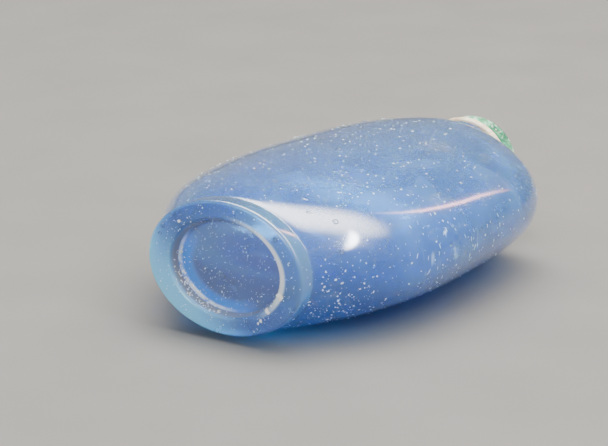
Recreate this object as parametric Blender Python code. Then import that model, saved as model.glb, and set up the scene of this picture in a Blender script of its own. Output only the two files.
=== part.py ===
"""Antique glass snuff bottle with its stopper in, lying on one broad face.

The bottle's long axis runs along +X, from the foot to the stopper. Its width is along Y and its
thickness along Z, and the belly touches z = 0. A station is a distance along the long axis,
measured from the plane of the foot rim. Every length below is in metres.
"""

import math
from collections import namedtuple

import bmesh
import bpy

MM = 0.001

# Driving dimensions of the glass bottle
BODY_WIDTH = 43.0 * MM
BODY_THICKNESS = 19.9 * MM
SHOULDER_STATION = 57.0 * MM  # where the shoulder ends and the neck starts
WIDEST_STATION = 27.8 * MM
THICKEST_STATION = 24.5 * MM
SECTION_POWER = 2.17  # the body's cross-section, a little fuller than an ellipse

FOOT_WIDTH = 24.4 * MM
FOOT_THICKNESS = 18.1 * MM
FOOT_HEIGHT = 3.0 * MM
RECESS_WIDTH = 17.1 * MM
RECESS_THICKNESS = 12.9 * MM
RECESS_DEPTH = 1.9 * MM
RECESS_DRAFT = 0.3 * MM
RIM_ROUND = 0.5 * MM  # the rounding of the rim's two edges, and of the recess's corner
FOOT_ROUND = 0.45 * MM  # the foot's upper edge, where the groove under the body starts
GROOVE_WIDTH = 0.225 * MM
GROOVE_DEPTH = 0.25 * MM  # how far in from the foot's side the body starts

NECK_RADIUS = 7.0 * MM
NECK_HEIGHT = 4.5 * MM
NECK_ROUND = 0.9 * MM
LIP_ROUND = 0.5 * MM
BORE_RADIUS = 3.8 * MM
LIP_STATION = SHOULDER_STATION + NECK_HEIGHT

# The hollow inside
SIDE_WALL = 3.2 * MM
FACE_WALL = 2.9 * MM
BASE_STATION = 8.2 * MM  # the bottom of the hollow
HOLLOW_TOP_STATION = 54.0 * MM
BORE_ROUND = 0.8 * MM

# The outline is two curves, foot to belly and belly to neck. Each bend is set by the angle that
# the outline leaves the foot at, and by how far it runs straight on before it turns: from the
# foot, into the belly, out of the belly, and into the neck.
Bends = namedtuple("Bends", "foot_angle foot_reach belly_in belly_out neck_reach")
WIDTH_BENDS = Bends(math.radians(40.0), 8.7 * MM, 14.2 * MM, 16.1 * MM, 13.0 * MM)
THICKNESS_BENDS = Bends(math.radians(15.3), 4.2 * MM, 13.2 * MM, 11.0 * MM, 1.35 * MM)
HOLLOW_WIDTH_BENDS = Bends(math.radians(90.0), 9.0 * MM, 11.0 * MM, 14.0 * MM, 9.0 * MM)
HOLLOW_THICKNESS_BENDS = Bends(math.radians(90.0), 4.0 * MM, 10.0 * MM, 12.0 * MM, 1.2 * MM)

# The stopper
GAP = 0.3 * MM  # between pieces that touch or are glued
COLLAR_RADIUS = 7.2 * MM
COLLAR_THICKNESS = 1.3 * MM
COLLAR_ROUND = 0.35 * MM
CAP_RADIUS = 7.0 * MM
CAP_HEIGHT = 6.2 * MM
CAP_BAND = 1.0 * MM  # the upright edge of the cap under its dome
CAP_DOME_POWER = 2.1
SOCKET_RADIUS = 2.6 * MM  # the drilled seat for the cork's peg, in the collar and the cap
SOCKET_DEPTH = 1.8 * MM
CORK_RADIUS = BORE_RADIUS - GAP
CORK_LENGTH = 6.2 * MM
CORK_TAPER = 0.3 * MM
CORK_ROUND = 0.4 * MM
PEG_RADIUS = SOCKET_RADIUS - GAP
SPOON_HOLE_DEPTH = 4.2 * MM
SPOON_SHAFT_RADIUS = 0.6 * MM
SPOON_TIP_STATION = 18.0 * MM
SPOON_TIP_RADIUS = 0.25 * MM
BOWL_LENGTH = 9.0 * MM
BOWL_WIDTH = 3.8 * MM
BOWL_THICKNESS = 1.0 * MM
BOWL_DISH = 0.7 * MM
BOWL_LEAN = 0.9  # under 1 puts the widest place nearer to the tip
BOWL_FULLNESS = 0.8  # under 1 makes the leaf's sides fuller than a sine

COLLAR_STATION = LIP_STATION + GAP
CAP_STATION = COLLAR_STATION + COLLAR_THICKNESS + GAP
TOTAL_LENGTH = CAP_STATION + CAP_HEIGHT
AXIS_HEIGHT = BODY_THICKNESS / 2

# Mesh fineness
BOTTLE_SEGMENTS = 48
STOPPER_SEGMENTS = 40
SPOON_SEGMENTS = 16
BEND_STEPS = 3
DOME_STEPS = 9
BOWL_STEPS = 12
LOWER_STEPS = 8
UPPER_STEPS = 11
RECESS_FLOOR_SHARES = (0.25, 0.65)


def ring(station, half_width, half_thickness, power=2.0, dish=0.0):
    """One cross-section of a piece: an oval in a plane square to the long axis."""
    return (station, half_width, half_thickness, power, dish)


def round_ring(station, radius):
    return ring(station, radius, radius)


def section_points(section, segments):
    """The corners of an oval cross-section, as (station, y, z), evenly stepped around it."""
    station, half_width, half_thickness, power, dish = section
    points = []
    for index in range(segments):
        turn = 2 * math.pi * index / segments
        across, up = half_width * math.cos(turn), half_thickness * math.sin(turn)
        reach = (abs(across / half_width) ** power + abs(up / half_thickness) ** power) ** (1 / power)
        across, up = across / reach, up / reach
        points.append((station, across, up + dish * (across / half_width) ** 2))
    return points


def loft(name, sections, segments, material, parent, back_to_start=False):
    """A closed solid through a row of cross-sections.

    It has a flat end face at each end, or its last section is joined to its first.
    """
    mesh = bpy.data.meshes.new(name)
    shape = bmesh.new()
    rings = [
        [shape.verts.new(point) for point in section_points(section, segments)]
        for section in sections
    ]
    if back_to_start:
        rings.append(rings[0])
    else:
        shape.faces.new(rings[0][::-1])
        shape.faces.new(rings[-1])
    for near, far in zip(rings, rings[1:]):
        for index in range(segments):
            following = (index + 1) % segments
            shape.faces.new((near[index], near[following], far[following], far[index]))
    bmesh.ops.recalc_face_normals(shape, faces=shape.faces)
    shape.to_mesh(mesh)
    shape.free()
    mesh.shade_smooth()
    mesh.set_sharp_from_angle(angle=math.radians(35))
    mesh.materials.append(material)
    piece = bpy.data.objects.new(name, mesh)
    bpy.context.collection.objects.link(piece)
    piece.parent = parent
    return piece


def quarter_bend(start, end, steps, bulge):
    """Points of a quarter bend from start to end, both (station, offset), without its first point.

    bulge "along" leaves start along the axis, and "out" leaves it square to the axis.
    """
    (start_x, start_y), (end_x, end_y) = start, end
    points = []
    for step in range(1, steps + 1):
        turn = math.pi / 2 * step / steps
        rise, run = math.sin(turn), 1 - math.cos(turn)
        along, out = (rise, run) if bulge == "along" else (run, rise)
        points.append((start_x + (end_x - start_x) * along, start_y + (end_y - start_y) * out))
    return points


def curve_point(curve, share):
    """A point of a cubic Bezier curve through (station, offset) control points."""
    rest = 1 - share
    weights = (rest ** 3, 3 * rest ** 2 * share, 3 * rest * share ** 2, share ** 3)
    return tuple(sum(w * point[axis] for w, point in zip(weights, curve)) for axis in (0, 1))


def offset_at(curve, station):
    """The curve's offset at a station. Stations only grow along a curve."""
    low, high = 0.0, 1.0
    for _ in range(40):
        middle = (low + high) / 2
        if curve_point(curve, middle)[0] < station:
            low = middle
        else:
            high = middle
    return curve_point(curve, low)[1]


def outline(bends, foot, belly, neck):
    """The two curves of an outline, through its (station, offset) points at foot, belly and neck."""
    lower = (
        foot,
        (
            foot[0] + bends.foot_reach * math.cos(bends.foot_angle),
            foot[1] + bends.foot_reach * math.sin(bends.foot_angle),
        ),
        (belly[0] - bends.belly_in, belly[1]),
        belly,
    )
    upper = (belly, (belly[0] + bends.belly_out, belly[1]), (neck[0], neck[1] + bends.neck_reach), neck)
    return lower, upper


def outline_offset(curves, station):
    lower, upper = curves
    return offset_at(lower if station < upper[0][0] else upper, station)


def bulging_rings(width_outline, thickness_outline):
    """Rings from foot to neck, whose section turns from the belly's form to an ellipse at each end."""
    rings = []
    for curve, steps in zip(width_outline, (LOWER_STEPS, UPPER_STEPS)):
        for step in range(steps + 1):
            station, half_width = curve_point(curve, step / steps)
            half_thickness = outline_offset(thickness_outline, station)
            from_end = step / steps if curve is width_outline[0] else 1 - step / steps
            power = 2 + (SECTION_POWER - 2) * math.sqrt(from_end)
            rings.append(ring(station, half_width, half_thickness, power))
    del rings[LOWER_STEPS]
    return rings


def foot_rings():
    """From the middle of the recess, over the rim, up the foot's side to the groove."""
    floor = RECESS_DEPTH
    wall_width = RECESS_WIDTH / 2 - RECESS_DRAFT
    wall_thickness = RECESS_THICKNESS / 2 - RECESS_DRAFT
    rings = [ring(floor, wall_width * share, wall_thickness * share) for share in RECESS_FLOOR_SHARES]
    corner = [(floor, -RIM_ROUND)]
    corner += quarter_bend((floor, -RIM_ROUND), (floor - RIM_ROUND, 0.0), BEND_STEPS, "out")
    rings += [ring(s, wall_width + grow, wall_thickness + grow) for s, grow in corner]
    inner = [(RIM_ROUND, 0.0)] + quarter_bend((RIM_ROUND, 0.0), (0.0, RIM_ROUND), BEND_STEPS, "along")
    rings += [ring(s, RECESS_WIDTH / 2 + grow, RECESS_THICKNESS / 2 + grow) for s, grow in inner]
    outer = [(0.0, -RIM_ROUND)]
    outer += quarter_bend((0.0, -RIM_ROUND), (RIM_ROUND, 0.0), BEND_STEPS, "out")
    rings += [ring(s, FOOT_WIDTH / 2 + grow, FOOT_THICKNESS / 2 + grow) for s, grow in outer]
    edge_start = (FOOT_HEIGHT - GROOVE_WIDTH - FOOT_ROUND, 0.0)
    edge_end = (FOOT_HEIGHT - GROOVE_WIDTH, -FOOT_ROUND)
    edge = [edge_start] + quarter_bend(edge_start, edge_end, BEND_STEPS, "along")
    rings += [ring(s, FOOT_WIDTH / 2 + grow, FOOT_THICKNESS / 2 + grow) for s, grow in edge]
    return rings


def body_rings():
    """From the groove over the belly and the shoulder to the neck's root."""
    neck_root = (SHOULDER_STATION, NECK_RADIUS + NECK_ROUND)
    width_at_foot = (FOOT_HEIGHT, FOOT_WIDTH / 2 - GROOVE_DEPTH)
    thickness_at_foot = (FOOT_HEIGHT, FOOT_THICKNESS / 2 - GROOVE_DEPTH)
    widest, thickest = (WIDEST_STATION, BODY_WIDTH / 2), (THICKEST_STATION, BODY_THICKNESS / 2)
    return bulging_rings(
        outline(WIDTH_BENDS, width_at_foot, widest, neck_root),
        outline(THICKNESS_BENDS, thickness_at_foot, thickest, neck_root),
    )


def neck_rings():
    """From the neck's root, up its side, over the lip and down the bore."""
    root = (SHOULDER_STATION, NECK_RADIUS + NECK_ROUND)
    points = quarter_bend(root, (SHOULDER_STATION + NECK_ROUND, NECK_RADIUS), BEND_STEPS, "out")
    lip_outside = (LIP_STATION - LIP_ROUND, NECK_RADIUS)
    points += [lip_outside]
    points += quarter_bend(lip_outside, (LIP_STATION, NECK_RADIUS - LIP_ROUND), BEND_STEPS, "along")
    lip_inside = (LIP_STATION, BORE_RADIUS + LIP_ROUND)
    points += [lip_inside]
    points += quarter_bend(lip_inside, (LIP_STATION - LIP_ROUND, BORE_RADIUS), BEND_STEPS, "out")
    bore_end = (HOLLOW_TOP_STATION + BORE_ROUND, BORE_RADIUS)
    points += [bore_end]
    hollow_top = (HOLLOW_TOP_STATION, BORE_RADIUS + BORE_ROUND)
    points += quarter_bend(bore_end, hollow_top, BEND_STEPS, "along")
    return [round_ring(*point) for point in points]


def hollow_rings():
    """From the end of the bore, down inside the shoulder and the belly to the base."""
    bore_end = (HOLLOW_TOP_STATION, BORE_RADIUS + BORE_ROUND)
    base = (BASE_STATION, 0.0)
    widest = (WIDEST_STATION, BODY_WIDTH / 2 - SIDE_WALL)
    thickest = (THICKEST_STATION, BODY_THICKNESS / 2 - FACE_WALL)
    rings = bulging_rings(
        outline(HOLLOW_WIDTH_BENDS, base, widest, bore_end),
        outline(HOLLOW_THICKNESS_BENDS, base, thickest, bore_end),
    )
    return rings[-2:0:-1]


def glass_bottle(material, parent):
    """Foot, body and neck are one blown and ground piece of glass."""
    sections = foot_rings() + body_rings() + neck_rings() + hollow_rings()
    return loft("glass_bottle", sections, BOTTLE_SEGMENTS, material, parent)


def stopper_collar(material, parent):
    """A flat washer that covers the lip, with a hole for the cork's peg."""
    near, far = COLLAR_STATION, COLLAR_STATION + COLLAR_THICKNESS
    rim = COLLAR_RADIUS - COLLAR_ROUND
    points = [(near, rim)]
    points += quarter_bend(points[-1], (near + COLLAR_ROUND, COLLAR_RADIUS), BEND_STEPS, "out")
    points += [(far - COLLAR_ROUND, COLLAR_RADIUS)]
    points += quarter_bend(points[-1], (far, rim), BEND_STEPS, "along")
    points += [(far, SOCKET_RADIUS), (near, SOCKET_RADIUS)]
    sections = [round_ring(*point) for point in points]
    return loft("stopper_collar", sections, STOPPER_SEGMENTS, material, parent, back_to_start=True)


def stopper_cap(material, parent):
    """A polished dome with a shallow drilled socket in its flat underside."""
    near = CAP_STATION
    round_edge = CAP_BAND / 3
    points = [(near + SOCKET_DEPTH, SOCKET_RADIUS), (near, SOCKET_RADIUS)]
    points += [(near, CAP_RADIUS - round_edge)]
    points += quarter_bend(points[-1], (near + round_edge, CAP_RADIUS), BEND_STEPS, "out")
    points += [(near + CAP_BAND, CAP_RADIUS)]
    for step in range(1, DOME_STEPS):
        turn = math.pi / 2 * step / DOME_STEPS
        rise = math.sin(turn) ** (2 / CAP_DOME_POWER) * (CAP_HEIGHT - CAP_BAND)
        radius = math.cos(turn) ** (2 / CAP_DOME_POWER) * CAP_RADIUS
        points.append((near + CAP_BAND + rise, radius))
    points.append((near + CAP_HEIGHT, points[-1][1] / 3))
    sections = [round_ring(*point) for point in points]
    return loft("stopper_cap", sections, STOPPER_SEGMENTS, material, parent)


def stopper_cork(material, parent):
    """A tapered plug with a peg for the collar and cap, and a blind hole for the spoon."""
    top = COLLAR_STATION - GAP
    bottom = top - CORK_LENGTH
    hole = SPOON_SHAFT_RADIUS + GAP
    thin = CORK_RADIUS - CORK_TAPER
    points = [(bottom + SPOON_HOLE_DEPTH, hole), (bottom, hole), (bottom, thin - CORK_ROUND)]
    points += quarter_bend(points[-1], (bottom + CORK_ROUND, thin), BEND_STEPS, "out")
    points += [(top - CORK_ROUND, CORK_RADIUS)]
    points += quarter_bend(points[-1], (top, CORK_RADIUS - CORK_ROUND), BEND_STEPS, "along")
    points += [(top, PEG_RADIUS), (CAP_STATION + SOCKET_DEPTH - GAP, PEG_RADIUS)]
    sections = [round_ring(*point) for point in points]
    return loft("stopper_cork", sections, STOPPER_SEGMENTS, material, parent)


def snuff_spoon(material, parent):
    """A thin round shaft that widens into a small dished leaf with a blunt tip."""
    top = COLLAR_STATION - GAP - CORK_LENGTH + SPOON_HOLE_DEPTH - GAP
    bowl_start = SPOON_TIP_STATION + BOWL_LENGTH
    sections = [
        round_ring(top, SPOON_SHAFT_RADIUS * 0.8),
        round_ring(top - GAP, SPOON_SHAFT_RADIUS),
        round_ring((top + bowl_start) / 2, SPOON_SHAFT_RADIUS),
        round_ring(bowl_start, SPOON_SHAFT_RADIUS),
    ]
    for step in range(1, BOWL_STEPS + 1):
        share = step / BOWL_STEPS
        leaf = math.sin(math.pi * share ** BOWL_LEAN) ** BOWL_FULLNESS if share < 1 else 0.0
        shaft_left = SPOON_SHAFT_RADIUS * (1 - share)
        half_width = max(shaft_left, SPOON_TIP_RADIUS, BOWL_WIDTH / 2 * leaf)
        flattened = min(1.0, 3 * share)
        half_thickness = SPOON_SHAFT_RADIUS + (BOWL_THICKNESS / 2 - SPOON_SHAFT_RADIUS) * flattened
        half_thickness = min(half_thickness, SPOON_TIP_RADIUS + BOWL_LENGTH * (1 - share) / 4)
        station = bowl_start - BOWL_LENGTH * share
        sections.append(ring(station, half_width, half_thickness, 2.0, BOWL_DISH * leaf))
    return loft("snuff_spoon", sections, SPOON_SEGMENTS, material, parent)


def plain_material(name, colour, roughness, transmission=0.0):
    material = bpy.data.materials.new(name)
    material.use_nodes = True
    shader = material.node_tree.nodes["Principled BSDF"]
    shader.inputs["Base Color"].default_value = (*colour, 1.0)
    shader.inputs["Roughness"].default_value = roughness
    shader.inputs["Metallic"].default_value = 0.0
    shader.inputs["Transmission Weight"].default_value = transmission
    return material


def axis_empty(name, station, parent=None):
    """An empty on the bottle's long axis. Pieces under it are built in stations from the foot."""
    empty = bpy.data.objects.new(name, None)
    bpy.context.collection.objects.link(empty)
    empty.parent = parent
    empty.location = (station, 0.0, 0.0)
    return empty


def main():
    for item in list(bpy.data.objects):
        bpy.data.objects.remove(item)

    blue_glass = plain_material("blue_glass", (0.25, 0.45, 0.80), 0.08, 0.6)
    jade = plain_material("jade", (0.30, 0.62, 0.38), 0.15)
    bone = plain_material("bone", (0.86, 0.82, 0.72), 0.35)
    cork = plain_material("cork", (0.55, 0.38, 0.24), 0.85)

    foot = axis_empty("bottle_axis", -TOTAL_LENGTH / 2)
    foot.location.z = AXIS_HEIGHT
    lip = axis_empty("stopper_axis", LIP_STATION, foot)
    glass_bottle(blue_glass, foot)
    stopper_pieces = [
        stopper_cap(jade, lip),
        stopper_collar(bone, lip),
        stopper_cork(cork, lip),
        snuff_spoon(bone, lip),
    ]
    for piece in stopper_pieces:
        piece.location.x = -LIP_STATION


main()
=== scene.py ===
"""Looks for the antique blue glass snuff bottle, lying on one broad face with its stopper in.

Stations are distances along the bottle's long axis (+X) from the plane of its foot rim, and all
lengths are in metres. The bottle's CAD box gives where its axis, foot and lip are, and how wide and
thick its body is.
"""

import math
import random
from collections import namedtuple

import bmesh
import bpy
from mathutils import Matrix, Vector, noise
from mathutils.bvhtree import BVHTree


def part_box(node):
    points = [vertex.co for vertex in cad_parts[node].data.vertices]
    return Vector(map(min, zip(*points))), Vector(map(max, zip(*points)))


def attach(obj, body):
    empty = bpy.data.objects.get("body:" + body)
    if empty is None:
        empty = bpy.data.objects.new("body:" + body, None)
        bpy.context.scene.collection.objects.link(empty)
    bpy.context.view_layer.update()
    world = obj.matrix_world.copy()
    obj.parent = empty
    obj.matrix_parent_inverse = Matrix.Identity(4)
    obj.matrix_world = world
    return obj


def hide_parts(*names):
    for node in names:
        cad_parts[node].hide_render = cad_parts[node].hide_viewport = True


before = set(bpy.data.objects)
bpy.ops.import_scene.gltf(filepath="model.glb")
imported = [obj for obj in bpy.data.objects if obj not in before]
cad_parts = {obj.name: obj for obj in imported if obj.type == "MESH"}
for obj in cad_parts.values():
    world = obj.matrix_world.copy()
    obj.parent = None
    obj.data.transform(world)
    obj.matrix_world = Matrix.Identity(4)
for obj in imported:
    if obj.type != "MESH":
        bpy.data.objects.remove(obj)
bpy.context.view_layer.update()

MM = 0.001
BOTTLE_LOW, BOTTLE_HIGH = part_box("glass_bottle")
FOOT_X = BOTTLE_LOW[0]
AXIS_Z = (BOTTLE_LOW[2] + BOTTLE_HIGH[2]) / 2

# ---------------------------------------------------------------- the glass bottle's form

BODY_WIDTH = BOTTLE_HIGH[1] - BOTTLE_LOW[1]
BODY_THICKNESS = BOTTLE_HIGH[2] - BOTTLE_LOW[2]
LIP_STATION = BOTTLE_HIGH[0] - FOOT_X
NECK_LENGTH = 4.5 * MM
SHOULDER_STATION = LIP_STATION - NECK_LENGTH
WIDEST_STATION = 27.8 * MM
THICKEST_STATION = 24.5 * MM
SECTION_POWER = 2.17
FOOT_WIDTH = 24.4 * MM
FOOT_THICKNESS = 18.1 * MM
FOOT_HEIGHT = 3.0 * MM
RECESS_WIDTH = 17.1 * MM
RECESS_THICKNESS = 12.9 * MM
RECESS_DEPTH = 1.9 * MM
RECESS_DRAFT = 0.3 * MM
RIM_ROUND = 0.5 * MM
FOOT_ROUND = 0.45 * MM
GROOVE_DEPTH = 0.25 * MM
NECK_RADIUS = 7.0 * MM
NECK_ROUND = 0.9 * MM
LIP_ROUND = 0.5 * MM
BORE_RADIUS = 3.8 * MM
BORE_ROUND = 0.8 * MM
SIDE_WALL = 3.2 * MM
FACE_WALL = 2.9 * MM
BASE_STATION = 8.2 * MM
HOLLOW_TOP_STATION = 54.0 * MM

Bends = namedtuple("Bends", "foot_angle foot_reach belly_in belly_out neck_reach")
WIDTH_BENDS = Bends(math.radians(40.0), 8.7 * MM, 14.2 * MM, 16.1 * MM, 13.0 * MM)
THICKNESS_BENDS = Bends(math.radians(15.3), 4.2 * MM, 13.2 * MM, 11.0 * MM, 1.35 * MM)
HOLLOW_WIDTH_BENDS = Bends(math.radians(90.0), 9.0 * MM, 11.0 * MM, 14.0 * MM, 9.0 * MM)
HOLLOW_THICKNESS_BENDS = Bends(math.radians(90.0), 4.0 * MM, 10.0 * MM, 12.0 * MM, 1.2 * MM)

# The unevenness of the glass. It fades in from one station and out before the other.
WAVE_HEIGHT = 0.12 * MM
WAVE_SCALE = 75.0
WAVE_START = 5.0 * MM
WAVE_END = 54.0 * MM
WAVE_FADE_IN = 5.0 * MM
WAVE_FADE_OUT = 6.0 * MM

# What is in and on the glass. Body places are a station and an angle from +Y towards +Z in degrees,
# and foot places are distances across and up from the axis.
SEED_RADIUS = 0.14 * MM
SEED_COUNT = 1500
# Each cluster is a station, an angle, how far it spreads in each, and its number of seeds.
SEED_CLUSTERS = (
    (6.5 * MM, 194.0, 2.6 * MM, 12.0, 150),
    (14.0 * MM, 140.0, 7.0 * MM, 16.0, 120),
    (28.0 * MM, 165.0, 7.0 * MM, 14.0, 60),
    (12.0 * MM, 200.0, 6.0 * MM, 14.0, 90),
)
FOOT_SEED_COUNT = 700
FOOT_SEED_REACH = 0.22  # in squared shares of the foot's oval, which ends at 0.25
WISP_COUNT = 40
WISP_RADIUS = 0.05 * MM
SCRATCH_COUNT = 60
SCRATCH_RADIUS = 0.014 * MM
SCRATCH_REACH = 0.40  # how far from the middle of the recess, as a share of its width
OPEN_BUBBLES = ((6.3 * MM, 140.0), (7.9 * MM, 152.0), (11.5 * MM, 118.0))
FOOT_BUBBLES = ((-8.1 * MM, 5.3 * MM), (10.1 * MM, 3.2 * MM), (9.6 * MM, 4.4 * MM))
STRAY_BUBBLES = 14
# Bright flakes at the recess edge that are painted glints.
GLINT_FLAKE_COUNT = 90
CHIP_SHIFT = 0.25 * MM
FLAKES_TO_A_CHIP = 3
# Each chip is a foot place and the radius of its largest flake.
RIM_CHIPS = (
    (-8.6 * MM, -2.2 * MM, 0.42 * MM),
    (-6.9 * MM, -4.6 * MM, 0.28 * MM),
    (-5.6 * MM, -6.2 * MM, 0.20 * MM),
    (6.9 * MM, 5.4 * MM, 0.18 * MM),
)

BOTTLE_SEGMENTS = 160
BODY_STEPS = (26, 34)
BEND_STEPS = 6
HALVINGS = 40  # of the range, when looking for a station on a curve

def ring(station, half_width, half_thickness, power=2.0):
    """An oval cross-section. A higher power makes it squarer."""
    return (station, half_width, half_thickness, power)


def quarter_bend(start, end, bulge):
    """A quarter bend's (station, offset) points after start. "along" leaves along the axis."""
    (start_x, start_y), (end_x, end_y) = start, end
    points = []
    for step in range(1, BEND_STEPS + 1):
        turn = math.pi / 2 * step / BEND_STEPS
        rise, run = math.sin(turn), 1 - math.cos(turn)
        along, out = (rise, run) if bulge == "along" else (run, rise)
        points.append((start_x + (end_x - start_x) * along, start_y + (end_y - start_y) * out))
    return points


def curve_point(curve, share):
    """The (station, offset) point at that share of a Bezier curve's run."""
    rest = 1 - share
    weights = (rest ** 3, 3 * rest ** 2 * share, 3 * rest * share ** 2, share ** 3)
    return tuple(sum(w * point[axis] for w, point in zip(weights, curve)) for axis in (0, 1))


def offset_at(curve, station):
    """The curve's distance from the axis at a station."""
    low, high = 0.0, 1.0
    for _ in range(HALVINGS):
        middle = (low + high) / 2
        if curve_point(curve, middle)[0] < station:
            low = middle
        else:
            high = middle
    return curve_point(curve, low)[1]


def outline(bends, foot, belly, neck):
    """Two Bezier curves, from the foot to the widest place and from there to the neck."""
    foot_handle = (
        foot[0] + bends.foot_reach * math.cos(bends.foot_angle),
        foot[1] + bends.foot_reach * math.sin(bends.foot_angle),
    )
    lower = (foot, foot_handle, (belly[0] - bends.belly_in, belly[1]), belly)
    upper = (belly, (belly[0] + bends.belly_out, belly[1]), (neck[0], neck[1] + bends.neck_reach), neck)
    return lower, upper


def outline_offset(curves, station):
    lower, upper = curves
    return offset_at(lower if station < upper[0][0] else upper, station)


def bulging_rings(width_outline, thickness_outline):
    """Sections along both curves of an outline, round at its ends and squarer in its middle."""
    rings = []
    for curve, steps in zip(width_outline, BODY_STEPS):
        for step in range(steps + 1):
            station, half_width = curve_point(curve, step / steps)
            half_thickness = outline_offset(thickness_outline, station)
            from_end = step / steps if curve is width_outline[0] else 1 - step / steps
            power = 2 + (SECTION_POWER - 2) * math.sqrt(from_end)
            rings.append(ring(station, half_width, half_thickness, power))
    del rings[BODY_STEPS[0]]
    return rings


def offset_rings(points, half_width, half_thickness):
    """Ovals grown from that half width and half thickness by each point's offset."""
    return [ring(station, half_width + grow, half_thickness + grow) for station, grow in points]


def foot_rings():
    """From the middle of the recess, over the rim and up the foot's side to the groove."""
    floor = RECESS_DEPTH
    wall = (RECESS_WIDTH / 2 - RECESS_DRAFT, RECESS_THICKNESS / 2 - RECESS_DRAFT)
    rings = [ring(floor, wall[0] * share, wall[1] * share) for share in (0.02, 0.25, 0.45, 0.65, 0.8)]
    corner = [(floor, -RIM_ROUND)] + quarter_bend((floor, -RIM_ROUND), (floor - RIM_ROUND, 0.0), "out")
    inner = [(RIM_ROUND, 0.0)] + quarter_bend((RIM_ROUND, 0.0), (0.0, RIM_ROUND), "along")
    outer = [(0.0, -RIM_ROUND)] + quarter_bend((0.0, -RIM_ROUND), (RIM_ROUND, 0.0), "out")
    edge_start = (FOOT_HEIGHT - 1.5 * FOOT_ROUND, 0.0)
    edge_end = (FOOT_HEIGHT - 0.5 * FOOT_ROUND, -FOOT_ROUND)
    edge = [edge_start] + quarter_bend(edge_start, edge_end, "along")
    rings += offset_rings(corner, *wall)
    rings += offset_rings(inner, RECESS_WIDTH / 2, RECESS_THICKNESS / 2)
    middle = (RECESS_WIDTH + FOOT_WIDTH) / 4, (RECESS_THICKNESS + FOOT_THICKNESS) / 4
    rings += [ring(0.0, *middle)]
    rings += offset_rings(outer, FOOT_WIDTH / 2, FOOT_THICKNESS / 2)
    rings += offset_rings(edge, FOOT_WIDTH / 2, FOOT_THICKNESS / 2)
    return rings


def body_rings():
    """The outside of the body, from the groove over the foot to the neck's root."""
    neck_root = (SHOULDER_STATION, NECK_RADIUS + NECK_ROUND)
    width_at_foot = (FOOT_HEIGHT, FOOT_WIDTH / 2 - GROOVE_DEPTH)
    thickness_at_foot = (FOOT_HEIGHT, FOOT_THICKNESS / 2 - GROOVE_DEPTH)
    widest, thickest = (WIDEST_STATION, BODY_WIDTH / 2), (THICKEST_STATION, BODY_THICKNESS / 2)
    return bulging_rings(
        outline(WIDTH_BENDS, width_at_foot, widest, neck_root),
        outline(THICKNESS_BENDS, thickness_at_foot, thickest, neck_root),
    )


def neck_rings():
    """From the neck's root, up its side, over the lip and down the bore."""
    root = (SHOULDER_STATION, NECK_RADIUS + NECK_ROUND)
    points = quarter_bend(root, (SHOULDER_STATION + NECK_ROUND, NECK_RADIUS), "out")
    lip_outside = (LIP_STATION - LIP_ROUND, NECK_RADIUS)
    points += [lip_outside] + quarter_bend(lip_outside, (LIP_STATION, NECK_RADIUS - LIP_ROUND), "along")
    lip_inside = (LIP_STATION, BORE_RADIUS + LIP_ROUND)
    points += [lip_inside] + quarter_bend(lip_inside, (LIP_STATION - LIP_ROUND, BORE_RADIUS), "out")
    bore_end = (HOLLOW_TOP_STATION + BORE_ROUND, BORE_RADIUS)
    hollow_top = (HOLLOW_TOP_STATION, BORE_RADIUS + BORE_ROUND)
    points += [bore_end] + quarter_bend(bore_end, hollow_top, "along")
    return [ring(station, radius, radius) for station, radius in points]


def hollow_rings():
    """From the end of the bore, down inside the shoulder and the belly to the base."""
    bore_end = (HOLLOW_TOP_STATION, BORE_RADIUS + BORE_ROUND)
    base = (BASE_STATION, 0.0)
    widest = (WIDEST_STATION, BODY_WIDTH / 2 - SIDE_WALL)
    thickest = (THICKEST_STATION, BODY_THICKNESS / 2 - FACE_WALL)
    rings = bulging_rings(
        outline(HOLLOW_WIDTH_BENDS, base, widest, bore_end),
        outline(HOLLOW_THICKNESS_BENDS, base, thickest, bore_end),
    )
    return rings[-2:0:-1]


def section_points(section, segments):
    station, half_width, half_thickness, power = section
    points = []
    for index in range(segments):
        turn = 2 * math.pi * index / segments
        cosine, sine = math.cos(turn), math.sin(turn)
        reach = (abs(cosine) ** power + abs(sine) ** power) ** (-1 / power)
        across = half_width * cosine * reach
        height = half_thickness * sine * reach
        points.append(Vector((FOOT_X + station, across, AXIS_Z + height)))
    return points


def loft(name, sections, segments):
    """A closed smooth mesh through a row of cross-sections."""
    mesh = bpy.data.meshes.new(name)
    shape = bmesh.new()
    rings = [[shape.verts.new(p) for p in section_points(s, segments)] for s in sections]
    for near, far in zip(rings, rings[1:]):
        for index in range(segments):
            following = (index + 1) % segments
            shape.faces.new((near[index], near[following], far[following], far[index]))
    shape.faces.new(rings[0][::-1])
    shape.faces.new(rings[-1])
    bmesh.ops.recalc_face_normals(shape, faces=shape.faces)
    shape.to_mesh(mesh)
    shape.free()
    mesh.shade_smooth()
    piece = bpy.data.objects.new(name, mesh)
    bpy.context.collection.objects.link(piece)
    return piece


# ---------------------------------------------------------------- materials


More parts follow.
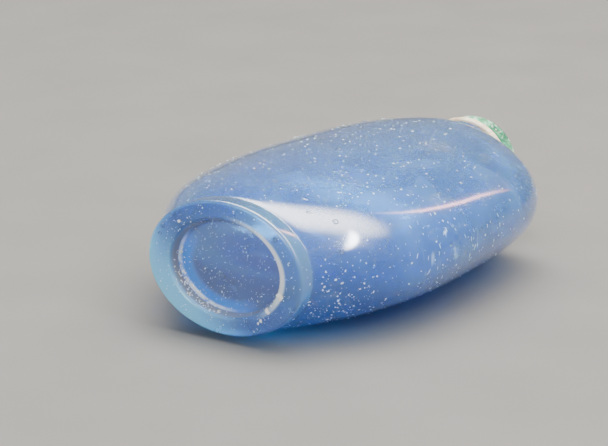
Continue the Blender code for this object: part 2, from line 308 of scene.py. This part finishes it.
class Paint:
    """A Principled material and short calls for the nodes that feed it."""

    def __init__(self, name, **settings):
        self.material = bpy.data.materials.new(name)
        self.material.use_nodes = True
        self.nodes = self.material.node_tree.nodes
        self.links = self.material.node_tree.links
        self.shader = self.nodes["Principled BSDF"]
        self.output = self.nodes["Material Output"]
        for socket, value in settings.items():
            self.shader.inputs[socket.replace("_", " ")].default_value = value
        self.place = self.nodes.new("ShaderNodeTexCoord").outputs["Object"]

    def add(self, kind, inputs=None, **settings):
        """A new node. An input is another node's output, to link, or a plain value."""
        node = self.nodes.new("ShaderNode" + kind)
        for key, value in settings.items():
            setattr(node, key, value)
        for socket, value in (inputs or {}).items():
            if isinstance(value, bpy.types.NodeSocket):
                self.links.new(value, node.inputs[socket])
            else:
                node.inputs[socket].default_value = value
        return node

    def noise(self, scale, detail=3.0, roughness=0.5, distortion=0.0, place=None):
        node = self.add("TexNoise", {
            "Vector": place or self.place, "Scale": scale, "Detail": detail,
            "Roughness": roughness, "Distortion": distortion,
        })
        return node.outputs["Fac"]

    def ramp(self, value, *stops):
        node = self.add("ValToRGB", {"Fac": value})
        elements = node.color_ramp.elements
        while len(elements) < len(stops):
            elements.new(0.5)
        for element, (position, colour) in zip(elements, stops):
            shade = colour if isinstance(colour, tuple) else (colour, colour, colour)
            element.position = position
            element.color = (*shade, 1.0)
        return node.outputs["Color"]

    def math(self, operation, first, second=0.0, third=0.0):
        node = self.add("Math", {0: first, 1: second, 2: third}, operation=operation)
        return node.outputs[0]

    def smooth(self, value, low, high):
        """0 at low and 1 at high with a soft step between. High may be the lower number."""
        node = self.add("MapRange", {"Value": value, "From Min": low, "From Max": high})
        node.interpolation_type = "SMOOTHSTEP"
        return node.outputs[0]

    def product(self, *values):
        result = values[0]
        for value in values[1:]:
            result = self.math("MULTIPLY", result, value)
        return result

    def band(self, value, low, high, softness):
        rise = self.smooth(value, low - softness, low + softness)
        return self.product(rise, self.smooth(value, high + softness, high - softness))

    def leaning(self, first, second, angle):
        """How far a place lies towards an angle, counted from first to second."""
        turn = math.radians(angle)
        part = self.math("MULTIPLY", first, math.cos(turn))
        return self.math("MULTIPLY_ADD", second, math.sin(turn), third=part)

    def near(self, centre, reach):
        """1 at a place on the object, falling to 0 at that reach from it."""
        node = self.add("VectorMath", {0: self.place, 1: centre}, operation="DISTANCE")
        return self.smooth(node.outputs["Value"], reach, 0.3 * reach)

    def grains(self, size, radius, share):
        """Scattered round grains: one to a cell of that size in some share of the cells."""
        node = self.add("TexVoronoi", {"Vector": self.place, "Scale": 1 / size})
        chosen = self.add("SeparateColor", {"Color": node.outputs["Color"]}).outputs["Red"]
        dot = self.smooth(node.outputs["Distance"], radius / size * 1.25, radius / size * 0.75)
        return self.product(dot, self.math("LESS_THAN", chosen, share))

    def mix(self, factor, first, second):
        """A colour between first and second."""
        first, second = (
            (*colour, 1.0) if isinstance(colour, tuple) else colour for colour in (first, second)
        )
        node = self.add("Mix", {0: factor, 6: first, 7: second}, data_type="RGBA")
        return node.outputs[2]

    def fade(self, factor, first, second):
        """A number between first and second."""
        node = self.add("Mix", {0: factor, 2: first, 3: second}, data_type="FLOAT")
        return node.outputs[0]

    def feed(self, **links):
        """Links outputs to the shader's inputs of those names, with _ for a space."""
        for socket, value in links.items():
            self.links.new(value, self.shader.inputs[socket.replace("_", " ")])

    def bump(self, height, distance):
        node = self.add("Bump", {"Height": height, "Distance": distance, "Strength": 1.0})
        self.links.new(node.outputs[0], self.shader.inputs["Normal"])


def oval_distance(paint, across, height):
    """1 on the edge of the foot's recess, less inside it and more on the rim."""
    squares = [
        paint.math("POWER", paint.math("DIVIDE", across, RECESS_WIDTH / 2), 2.0),
        paint.math("POWER", paint.math("DIVIDE", height, RECESS_THICKNESS / 2), 2.0),
    ]
    return paint.math("SQRT", paint.math("ADD", *squares))


def foot_layers(paint, station, across, height, wisps):
    """The foot's colours, each as where it is, its colour and how clear the glass is there. The rim and
    floor tints are the glass's own. The wall's grey-brown is a painted reflection. The blue crescent on
    the floor, the glow, the lit area on the rim, the cream edge and the white corner line are painted
    light.
    """
    def towards(angle, low, high):
        return paint.smooth(paint.leaning(across, height, angle), low, high)

    oval = oval_distance(paint, across, height)
    in_foot = paint.smooth(station, FOOT_HEIGHT + 0.4 * MM, FOOT_HEIGHT - 0.4 * MM)
    rim = paint.product(in_foot, paint.smooth(oval, 0.98, 1.04))
    floor = paint.product(
        in_foot, paint.smooth(oval, 1.0, 0.95), paint.smooth(station, 1.2 * MM, 1.7 * MM)
    )
    # Painted reflection: the grey-brown tint on the recess wall stands for the ground reflected in the
    # glass.
    wall = paint.product(
        in_foot, paint.band(station, 0.3 * MM, 1.6 * MM, 0.15 * MM), paint.smooth(oval, 1.04, 1.0)
    )
    # Partly painted light: a deep blue crescent on the recess floor, partly the glass's own deeper blue
    # and partly light gathered by the glass.
    blue_tint_and_lit_pool = paint.product(floor, paint.smooth(oval, 0.66, 0.80), towards(-50.0, 0.0, 4.0 * MM))
    # Painted light: a pale cyan glow on the rim's lower left, standing for light gathered in the glass.
    glow = paint.product(rim, towards(-42.0, 1.0 * MM, 9.5 * MM))
    # Painted light: a paler blue area on the rim's upper right, standing for light coming through the
    # glass.
    painted_light_patch = paint.product(rim, towards(145.0, 4.0 * MM, 9.0 * MM))
    # Painted highlight: a cream crescent on the rim along the recess edge.
    edge = paint.product(rim, paint.band(oval, 1.0, 1.12, 0.03), towards(160.0, 1.5 * MM, 8.0 * MM))
    # Painted highlight: a thin white line where the recess wall meets the floor at the lower left.
    corner = paint.product(
        in_foot, paint.band(station, 1.45 * MM, 1.85 * MM, 0.08 * MM),
        paint.band(oval, 0.91, 0.98, 0.02), paint.smooth(wisps, 0.25, 0.60),
        towards(-40.0, 1.0 * MM, 6.0 * MM),
    )
    return [
        (rim, (0.14, 0.42, 0.80), 0.86),
        (floor, (0.22, 0.36, 0.62), 0.80),
        (wall, (0.36, 0.33, 0.30), 0.45),
        (blue_tint_and_lit_pool, (0.0, 0.30, 1.0), 0.35),
        (glow, (0.20, 0.63, 1.0), 0.25),
        (painted_light_patch, (0.22, 0.55, 0.84), 0.80),
        (edge, (0.92, 0.94, 0.90), 0.25),
        (corner, (0.86, 0.93, 1.0), 0.15),
    ]


def wear_layers(paint):
    """A dull smudge on the upper face and pale streaks low on one side, as foot_layers gives them."""
    smudge = paint.near((FOOT_X + 39.7 * MM, -8.4 * MM, AXIS_Z + 9.0 * MM), 4.0 * MM)
    smudge = paint.math("MULTIPLY", smudge, 0.40)
    drawn_out = paint.add("Mapping", {"Vector": paint.place, "Scale": (900.0, 900.0, 170.0)}).outputs[0]
    streaks = paint.smooth(paint.noise(1.0, detail=2.0, place=drawn_out), 0.60, 0.74)
    streaks = paint.product(streaks, paint.near((FOOT_X + 22.0 * MM, -21.0 * MM, AXIS_Z), 9.0 * MM))
    return [(smudge, (0.46, 0.44, 0.38), 0.60), (streaks, (0.66, 0.86, 1.0), 0.30)]


def glass_paint():
    """Milky blue glass: painted paler towards the top and deeper blue low down as painted light, clearer
    in the foot, full of seeds and fine wear.
    """
    paint = Paint(
        "milky_blue_glass", Roughness=0.2, IOR=1.5, Transmission_Weight=0.8,
        Subsurface_Weight=1.0, Subsurface_Scale=0.003,
        Coat_Weight=1.0, Coat_Roughness=0.02, Coat_IOR=1.65,
    )
    paint.shader.inputs["Subsurface Radius"].default_value = (0.5, 0.7, 1.0)
    split = paint.add("SeparateXYZ", {"Vector": paint.place})
    station = paint.math("SUBTRACT", split.outputs["X"], FOOT_X)
    across = split.outputs["Y"]
    height = paint.math("SUBTRACT", split.outputs["Z"], AXIS_Z)

    clouds = paint.noise(110.0, detail=4.0, distortion=0.8)
    wisps = paint.noise(420.0, detail=3.0, distortion=1.5)
    # Painted light: paler towards the top as a painted reflection from above, and deeper blue low down as
    # a painted glow of light gathered in the glass.
    upper = paint.smooth(height, -6.0 * MM, 8.0 * MM)
    upper = paint.math("MULTIPLY_ADD", upper, 0.7, third=-0.4)
    pale = paint.math("MULTIPLY_ADD", clouds, 0.9, third=upper)
    colour = paint.mix(pale, (0.01, 0.38, 1.0), (0.17, 0.44, 0.94))
    colour = paint.mix(paint.smooth(wisps, 0.55, 0.8), colour, (0.42, 0.66, 0.98))
    clear = paint.math("MULTIPLY_ADD", paint.smooth(clouds, 0.75, 0.25), 0.12, third=0.76)
    for mask, tint, clarity in foot_layers(paint, station, across, height, wisps) + wear_layers(paint):
        colour = paint.mix(mask, colour, tint)
        clear = paint.fade(mask, clear, clarity)

    fine_dust = paint.grains(0.9 * MM, 0.055 * MM, 0.5)
    dust = paint.math("MAXIMUM", fine_dust, paint.grains(2.1 * MM, 0.10 * MM, 0.35))
    colour = paint.mix(dust, colour, (0.92, 0.96, 1.0))
    clear = paint.fade(dust, clear, 0.1)
    paint.feed(Base_Color=colour, Transmission_Weight=clear)

    smudges = paint.noise(260.0, detail=5.0, roughness=0.65)
    paint.feed(Roughness=paint.fade(paint.smooth(smudges, 0.45, 0.75), 0.16, 0.30))
    absorb = paint.add("VolumeAbsorption", {"Color": (0.30, 0.70, 0.95, 1.0), "Density": 50.0})
    paint.links.new(absorb.outputs[0], paint.output.inputs["Volume"])
    paint.bump(paint.noise(90.0, detail=2.0), 0.00004)
    return paint.material


def seed_paint(name):
    """Pale grainy glass, for seeds and for fine scratches."""
    paint = Paint(
        name, Roughness=0.28, Transmission_Weight=0.25, Subsurface_Weight=0.3, Subsurface_Scale=0.0004,
    )
    grain = paint.noise(2600.0, detail=3.0)
    paint.feed(Base_Color=paint.ramp(grain, (0.35, (0.55, 0.74, 0.96)), (0.65, (0.95, 0.98, 1.0))))
    paint.feed(Roughness=paint.ramp(grain, (0.3, 0.2), (0.7, 0.5)))
    paint.bump(grain, 0.00003)
    return paint.material


def chip_and_glint_paint():
    """Bright broken glass, some of it warm gold as a painted glint."""
    paint = Paint(
        "chip_white_and_glint", Roughness=0.12, Transmission_Weight=0.2, Coat_Weight=1.0, Coat_Roughness=0.02,
    )
    stain = paint.noise(1500.0, detail=2.0)
    # Painted glints: the warm gold in this ramp.
    paint.feed(Base_Color=paint.ramp(stain, (0.40, (0.95, 0.98, 1.0)), (0.62, (0.90, 0.74, 0.48))))
    paint.feed(Roughness=paint.ramp(stain, (0.3, 0.08), (0.7, 0.35)))
    return paint.material


def bubble_paint():
    """The dark edge of a bubble that was ground open."""
    paint = Paint("bubble_edge", Roughness=0.2, Coat_Weight=0.6, Coat_Roughness=0.05)
    grain = paint.noise(3000.0, detail=2.0)
    paint.feed(Base_Color=paint.ramp(grain, (0.3, (0.02, 0.05, 0.12)), (0.7, (0.08, 0.15, 0.28))))
    paint.feed(Roughness=paint.ramp(grain, (0.3, 0.15), (0.7, 0.4)))
    return paint.material


def jade_paint():
    """Pale mottled stone with deep green clouds and a few dark flecks, polished."""
    paint = Paint(
        "mottled_jade", Subsurface_Weight=0.5, Subsurface_Scale=0.0012,
        Coat_Weight=0.7, Coat_Roughness=0.04,
    )
    clouds = paint.noise(190.0, detail=6.0, roughness=0.62, distortion=1.6)
    veins = paint.noise(520.0, detail=4.0, roughness=0.6, distortion=2.4)
    colour = paint.ramp(
        clouds, (0.40, (0.01, 0.15, 0.07)), (0.50, (0.09, 0.38, 0.20)), (0.60, (0.50, 0.74, 0.58)),
        (0.72, (0.86, 0.91, 0.84)),
    )
    colour = paint.mix(paint.smooth(veins, 0.58, 0.72), colour, (0.88, 0.93, 0.88))
    flecks = paint.grains(1.3 * MM, 0.12 * MM, 0.3)
    colour = paint.mix(flecks, colour, (0.03, 0.12, 0.08))
    paint.feed(Base_Color=colour)
    wear = paint.noise(900.0, detail=5.0, roughness=0.7)
    paint.feed(Roughness=paint.fade(paint.smooth(wear, 0.45, 0.7), 0.12, 0.30))
    paint.bump(wear, 0.000012)
    return paint.material


def bone_paint(name, grain_scale):
    """Old polished bone: fine grain along its length, small dark pores and yellowed patches."""
    paint = Paint(
        name, Subsurface_Weight=0.4, Subsurface_Scale=0.0008, Coat_Weight=0.25, Coat_Roughness=0.15,
    )
    drawn_out = paint.add("Mapping", {"Vector": paint.place, "Scale": grain_scale}).outputs[0]
    grain = paint.noise(1.0, detail=5.0, roughness=0.6, place=drawn_out)
    stain = paint.noise(240.0, detail=4.0, distortion=1.0)
    colour = paint.ramp(
        grain, (0.30, (0.44, 0.35, 0.22)), (0.50, (0.66, 0.58, 0.43)), (0.72, (0.80, 0.74, 0.60)),
    )
    colour = paint.mix(paint.smooth(stain, 0.50, 0.75), colour, (0.62, 0.48, 0.29))
    pores = paint.grains(0.55 * MM, 0.035 * MM, 0.45)
    colour = paint.mix(pores, colour, (0.30, 0.20, 0.12))
    paint.feed(Base_Color=colour, Roughness=paint.fade(paint.smooth(grain, 0.35, 0.7), 0.30, 0.55))
    paint.bump(grain, 0.00002)
    return paint.material


def cork_paint():
    """Cork bark: soft brown granules, dark lenticels and a dry open surface."""
    paint = Paint("cork_bark", Specular_IOR_Level=0.25)
    cells = paint.add(
        "TexVoronoi", {"Vector": paint.place, "Scale": 1700.0}, feature="DISTANCE_TO_EDGE",
    )
    granules = cells.outputs["Distance"]
    shade = paint.noise(420.0, detail=5.0, roughness=0.7, distortion=1.2)
    colour = paint.ramp(
        shade, (0.30, (0.30, 0.17, 0.08)), (0.50, (0.56, 0.37, 0.20)), (0.72, (0.72, 0.53, 0.32)),
    )
    colour = paint.mix(paint.smooth(granules, 0.10, 0.0), colour, (0.24, 0.13, 0.06))
    along_axis = (260.0, 1100.0, 1100.0)
    drawn_out = paint.add("Mapping", {"Vector": paint.place, "Scale": along_axis}).outputs[0]
    pits = paint.smooth(paint.noise(1.0, detail=3.0, place=drawn_out), 0.62, 0.72)
    colour = paint.mix(pits, colour, (0.10, 0.05, 0.03))
    paint.feed(Base_Color=colour, Roughness=paint.fade(shade, 0.75, 0.95))
    paint.bump(paint.math("SUBTRACT", paint.math("MULTIPLY", granules, 0.6), pits), 0.00012)
    return paint.material


# ---------------------------------------------------------------- the pieces


def make_wavy(piece):
    """Slight unevenness inside and outside the body, fading out at the foot and the neck."""
    axis = Vector((0.0, 0.0, AXIS_Z))
    for vert in piece.data.vertices:
        station = vert.co.x - FOOT_X
        fade_in = max((station - WAVE_START) / WAVE_FADE_IN, 0.0)
        fade_out = max((WAVE_END - station) / WAVE_FADE_OUT, 0.0)
        fade = min(fade_in, fade_out, 1.0)
        out = vert.co - axis
        out.x = 0.0
        wave = noise.noise(vert.co * WAVE_SCALE) * WAVE_HEIGHT - 0.5 * WAVE_HEIGHT
        vert.co += out.normalized() * wave * fade


def make_bottle():
    sections = foot_rings() + body_rings() + neck_rings() + hollow_rings()
    bottle = loft("bottle_glass", sections, BOTTLE_SEGMENTS)
    make_wavy(bottle)
    bottle.data.materials.append(glass_paint())
    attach(bottle, "bottle")
    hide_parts("glass_bottle")
    return bottle


def cast(tree, origin, towards):
    """Where a ray first meets the glass, and the way out of the glass there."""
    place, out, _, _ = tree.ray_cast(origin, towards)
    return place, out


def on_body(tree, station, angle):
    """A place on the body's outer face at an angle from +Y towards +Z, in degrees."""
    turn = math.radians(angle)
    out = Vector((0.0, math.cos(turn), math.sin(turn)))
    return cast(tree, Vector((FOOT_X + station, 0.0, AXIS_Z)) + out * BODY_WIDTH, -out)


def on_foot(tree, across, height):
    """A place on the foot's rim or in its recess, seen from in front of the foot."""
    return cast(tree, Vector((FOOT_X - FOOT_HEIGHT, across, AXIS_Z + height)), Vector((1.0, 0.0, 0.0)))


def placed(where, spin, sizes):
    """The transform that lays a flake on a surface: its long side, its cross side and its thickness."""
    place, out = where
    upright = out.to_track_quat("Z", "Y").to_matrix().to_4x4()
    turned = Matrix.Translation(place) @ upright @ Matrix.Rotation(spin, 4, "Z")
    return turned @ Matrix.Diagonal((*sizes, 1.0))


def unit_ball():
    """The points and faces of a ball of radius 1."""
    shape = bmesh.new()
    bmesh.ops.create_icosphere(shape, subdivisions=2, radius=1.0)
    points = [vert.co.copy() for vert in shape.verts]
    faces = [[vert.index for vert in face.verts] for face in shape.faces]
    shape.free()
    return points, faces


def unit_ring(sides=18, tube_sides=8, tube=0.30):
    """The points and faces of a flattened ring of radius 1, with that radius of tube."""
    points = []
    faces = []
    for side in range(sides):
        turn = math.tau * side / sides
        for step in range(tube_sides):
            roll = math.tau * step / tube_sides
            reach = 1.0 + tube * math.cos(roll)
            rise = tube * math.sin(roll) / 2
            points.append(Vector((reach * math.cos(turn), reach * math.sin(turn), rise)))
            next_side = (side + 1) % sides * tube_sides
            next_step = (step + 1) % tube_sides
            here = side * tube_sides
            faces.append((here + step, next_side + step, next_side + next_step, here + next_step))
    return points, faces


class Scatter:
    """Many small closed shapes lying on the glass, gathered into one mesh. Each has its own draws."""

    def __init__(self, seed):
        self.draw = random.Random(seed)
        self.points = []
        self.faces = []

    def add(self, template, where, spin, sizes, rough=0.0):
        """Copies a template's shape to a place, if the ray that looked for the place met the glass."""
        if where[0] is None:
            return
        turned = placed(where, spin, sizes)
        start = len(self.points)
        for point in template[0]:
            self.points.append(turned @ (point * (1.0 + self.draw.uniform(-rough, rough))))
        self.faces += [[start + index for index in face] for face in template[1]]

    def grain(self, where, radius, stretch=1.0, flat=0.35, spin=None, rough=0.2):
        if spin is None:
            spin = self.draw.uniform(0, math.tau)
        self.add(BALL, where, spin, (radius * stretch, radius, radius * flat), rough)

    def finish(self, name, material, smooth=True):
        mesh = bpy.data.meshes.new(name)
        mesh.from_pydata(self.points, [], self.faces)
        if smooth:
            mesh.shade_smooth()
        mesh.materials.append(material)
        piece = bpy.data.objects.new(name, mesh)
        bpy.context.collection.objects.link(piece)
        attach(piece, "bottle")
        return piece


BALL = unit_ball()
RING = unit_ring()


def make_seeds(tree):
    """The white seeds in the glass where they reach its surface, most of them very small."""
    scatter = Scatter(11)
    draw = scatter.draw
    for _ in range(SEED_COUNT):
        where = on_body(tree, draw.uniform(4.0, 56.0) * MM, draw.uniform(0, 360))
        scatter.grain(where, SEED_RADIUS * (0.3 + 0.7 * draw.random() ** 3), draw.uniform(1.0, 1.6))
    for station, angle, spread, turn_spread, count in SEED_CLUSTERS:
        for _ in range(count):
            where = on_body(tree, draw.gauss(station, spread), draw.gauss(angle, turn_spread))
            scatter.grain(where, SEED_RADIUS * (0.2 + 0.7 * draw.random() ** 4), draw.uniform(1.0, 2.2))
    for _ in range(FOOT_SEED_COUNT):
        across = draw.uniform(-0.5, 0.5) * (FOOT_WIDTH - 2 * RIM_ROUND)
        height = draw.uniform(-0.5, 0.5) * (FOOT_THICKNESS - 2 * RIM_ROUND)
        if (across / FOOT_WIDTH) ** 2 + (height / FOOT_THICKNESS) ** 2 < FOOT_SEED_REACH:
            radius = SEED_RADIUS * (0.16 + 0.5 * draw.random() ** 4)
            scatter.grain(on_foot(tree, across, height), radius, draw.uniform(1.0, 2.0))
    for _ in range(WISP_COUNT):
        where = on_body(tree, draw.gauss(22.0, 5.0) * MM, draw.gauss(178.0, 8.0))
        spin = math.pi / 2 + draw.gauss(0.0, 0.3)
        scatter.grain(where, WISP_RADIUS, draw.uniform(2.0, 8.0), 0.3, spin)
    return scatter.finish("seeds_in_glass", seed_paint("seed_white"))


def make_scratches(tree):
    """Fine bright scratches ground into the recess floor by use."""
    scatter = Scatter(23)
    draw = scatter.draw
    for _ in range(SCRATCH_COUNT):
        across = draw.uniform(-SCRATCH_REACH, SCRATCH_REACH) * RECESS_WIDTH
        height = draw.uniform(-SCRATCH_REACH, SCRATCH_REACH) * RECESS_THICKNESS
        stretch = draw.uniform(5.0, 22.0)
        spin = draw.gauss(0.6, 0.5)
        scatter.grain(on_foot(tree, across, height), SCRATCH_RADIUS, stretch, 0.5, spin, 0.1)
    return scatter.finish("foot_scratches", seed_paint("scratch_white"))


def make_chips_and_glints(tree):
    """Small sharp flakes lost from the rim, which catch the light, and bright flakes along the recess's
    lower edge that are painted glints.
    """
    scatter = Scatter(31)
    draw = scatter.draw
    for across, height, radius in RIM_CHIPS:
        for _ in range(FLAKES_TO_A_CHIP):
            sideways = draw.uniform(-CHIP_SHIFT, CHIP_SHIFT)
            upwards = draw.uniform(-CHIP_SHIFT, CHIP_SHIFT)
            where = on_foot(tree, across + sideways, height + upwards)
            scatter.grain(where, radius * draw.uniform(0.5, 1.0), 1.4, 0.35, rough=0.35)
    # Painted glints: bright flakes along the lower edge of the recess.
    for _ in range(GLINT_FLAKE_COUNT):
        turn = math.radians(draw.gauss(-45.0, 26.0))
        inset = draw.uniform(0.93, 1.0)
        across = RECESS_WIDTH / 2 * inset * math.cos(turn)
        height = RECESS_THICKNESS / 2 * inset * math.sin(turn)
        radius = draw.uniform(0.04, 0.12) * MM
        scatter.grain(on_foot(tree, across, height), radius, draw.uniform(1.0, 2.0), 0.6, rough=0.35)
    return scatter.finish("rim_chips_and_glints", chip_and_glint_paint(), smooth=False)


def make_open_bubbles(tree):
    """Bubbles ground open at the surface: fine dark rings."""
    scatter = Scatter(5)
    draw = scatter.draw
    places = [on_body(tree, station, angle) for station, angle in OPEN_BUBBLES]
    places += [on_foot(tree, across, height) for across, height in FOOT_BUBBLES]
    for _ in range(STRAY_BUBBLES):
        places.append(on_body(tree, draw.uniform(5, 54) * MM, draw.uniform(0, 360)))
    for where in places:
        radius = draw.uniform(0.22, 0.36) * MM
        scatter.add(RING, where, 0.0, (radius, radius * draw.uniform(0.75, 1.0), radius))
    return scatter.finish("open_bubbles", bubble_paint())


def repaint(node, material):
    """Gives a CAD piece that keeps its own shape a new material."""
    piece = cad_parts[node]
    for slot in piece.material_slots:
        slot.material = material


# ---------------------------------------------------------------- the stage

VIEW_AZIMUTH = math.radians(-56.53)
VIEW_ELEVATION = math.radians(16.375)
VIEW_DISTANCE = 0.330
AIM_STATION = 18.895 * MM
AIM_RISE = 1.578 * MM
AIM = Vector((FOOT_X + AIM_STATION, 0.0, AXIS_Z + AIM_RISE))
SENSOR_WIDTH = 36.0  # millimetres, as cameras give it
LENS_LENGTH = 144.74
LIGHT_DISTANCE = 0.8
FLOOR_SIZE = 6.0


def direction(azimuth, elevation):
    """The unit vector towards a place seen at that azimuth and elevation, in radians."""
    flat = math.cos(elevation)
    return Vector((math.sin(azimuth) * flat, -math.cos(azimuth) * flat, math.sin(elevation)))


def aim(obj, target):
    obj.rotation_euler = (target - obj.location).to_track_quat("-Z", "Y").to_euler()


def make_camera():
    data = bpy.data.cameras.new("camera")
    data.sensor_width = SENSOR_WIDTH
    data.lens = LENS_LENGTH
    camera = bpy.data.objects.new("camera", data)
    bpy.context.collection.objects.link(camera)
    camera.location = AIM + direction(VIEW_AZIMUTH, VIEW_ELEVATION) * VIEW_DISTANCE
    aim(camera, AIM)
    bpy.context.scene.camera = camera


def fade_edges(data, bare):
    """Makes a light's glow fade from its middle to its edges. Bare is the part left full, up to 0.5."""
    data.use_nodes = True
    nodes = data.node_tree.nodes
    links = data.node_tree.links
    place = nodes.new("ShaderNodeTexCoord").outputs["UV"]
    from_middle = nodes.new("ShaderNodeVectorMath")
    from_middle.operation = "SUBTRACT"
    from_middle.inputs[1].default_value = (0.5, 0.5, 0.0)
    length = nodes.new("ShaderNodeVectorMath")
    length.operation = "LENGTH"
    fade = nodes.new("ShaderNodeMapRange")
    fade.interpolation_type = "SMOOTHSTEP"
    fade.inputs["From Min"].default_value = 0.5
    fade.inputs["From Max"].default_value = bare
    links.new(place, from_middle.inputs[0])
    links.new(from_middle.outputs[0], length.inputs[0])
    links.new(length.outputs["Value"], fade.inputs["Value"])
    links.new(fade.outputs[0], nodes["Emission"].inputs["Strength"])


def panel_light(name, size, power, colour, bare):
    data = bpy.data.lights.new(name, "AREA")
    data.shape = "RECTANGLE"
    data.size, data.size_y = size
    data.energy = power
    data.color = colour
    fade_edges(data, bare)
    light = bpy.data.objects.new(name, data)
    bpy.context.collection.objects.link(light)
    return light


def side_light(name, azimuth, elevation, size, power, colour, bare=0.2, roll=0.0):
    """A light that faces the bottle from that azimuth and elevation, turned about its own axis by roll."""
    light = panel_light(name, size, power, colour, bare)
    light.location = AIM + direction(math.radians(azimuth), math.radians(elevation)) * LIGHT_DISTANCE
    aim(light, AIM)
    light.rotation_euler.rotate_axis("Z", math.radians(roll))


def ceiling_light(name, centre, size, power, colour, bare=0.1):
    """A level soft light over the bottle, centred at (x, y, height) from AIM."""
    light = panel_light(name, size, power, colour, bare)
    light.location = AIM + Vector(centre)


def make_sky(front, back, azimuth, elevation):
    """A plain surrounding light that blends from one colour at a direction to another opposite it."""
    world = bpy.data.worlds.new("studio")
    world.use_nodes = True
    nodes = world.node_tree.nodes
    links = world.node_tree.links
    place = nodes.new("ShaderNodeTexCoord").outputs["Generated"]
    facing = nodes.new("ShaderNodeVectorMath")
    facing.operation = "DOT_PRODUCT"
    facing.inputs[1].default_value = direction(math.radians(azimuth), math.radians(elevation))
    share = nodes.new("ShaderNodeMapRange")
    share.interpolation_type = "SMOOTHSTEP"
    share.inputs["From Min"].default_value = -0.8
    share.inputs["From Max"].default_value = 0.8
    blend = nodes.new("ShaderNodeMix")
    blend.data_type = "RGBA"
    blend.inputs[6].default_value = (*back, 1.0)
    blend.inputs[7].default_value = (*front, 1.0)
    links.new(place, facing.inputs[0])
    links.new(facing.outputs["Value"], share.inputs["Value"])
    links.new(share.outputs[0], blend.inputs[0])
    links.new(blend.outputs[2], nodes["Background"].inputs["Color"])
    bpy.context.scene.world = world


def make_stage():
    bpy.ops.mesh.primitive_plane_add(size=FLOOR_SIZE)
    floor = bpy.context.object
    floor.name = "floor"
    paint = Paint("pale_floor", Roughness=0.7)
    shade = paint.ramp(paint.noise(60.0), (0.3, (0.125, 0.122, 0.118)), (0.7, (0.138, 0.135, 0.131)))
    paint.feed(Base_Color=shade)
    floor.data.materials.append(paint.material)
    make_sky((1.05, 1.10, 1.20), (0.40, 0.41, 0.45), -50.0, 15.0)
    ceiling_light("ceiling", (0.12, -0.04, 0.6), (0.60, 1.5), 60.0, (1.0, 0.95, 0.84))
    side_light("lamp", -6.0, 42.0, (0.08, 0.70), 16.0, (0.92, 0.97, 1.0), bare=0.05, roll=-32.0)
    side_light("strip", 76.0, 36.0, (0.07, 0.62), 2.6, (1.0, 0.50, 0.42), bare=0.05)
    side_light("fill", -96.0, 18.0, (0.45, 0.40), 6.0, (0.84, 0.94, 1.0))
    make_camera()


bottle = make_bottle()
glass_surface = BVHTree.FromObject(bottle, bpy.context.evaluated_depsgraph_get())
make_seeds(glass_surface)
make_scratches(glass_surface)
make_chips_and_glints(glass_surface)
make_open_bubbles(glass_surface)
repaint("stopper_cap", jade_paint())
repaint("stopper_collar", bone_paint("bone_collar", (500.0, 500.0, 2400.0)))
repaint("stopper_cork", cork_paint())
repaint("snuff_spoon", bone_paint("bone_spoon", (260.0, 2600.0, 2600.0)))
make_stage()
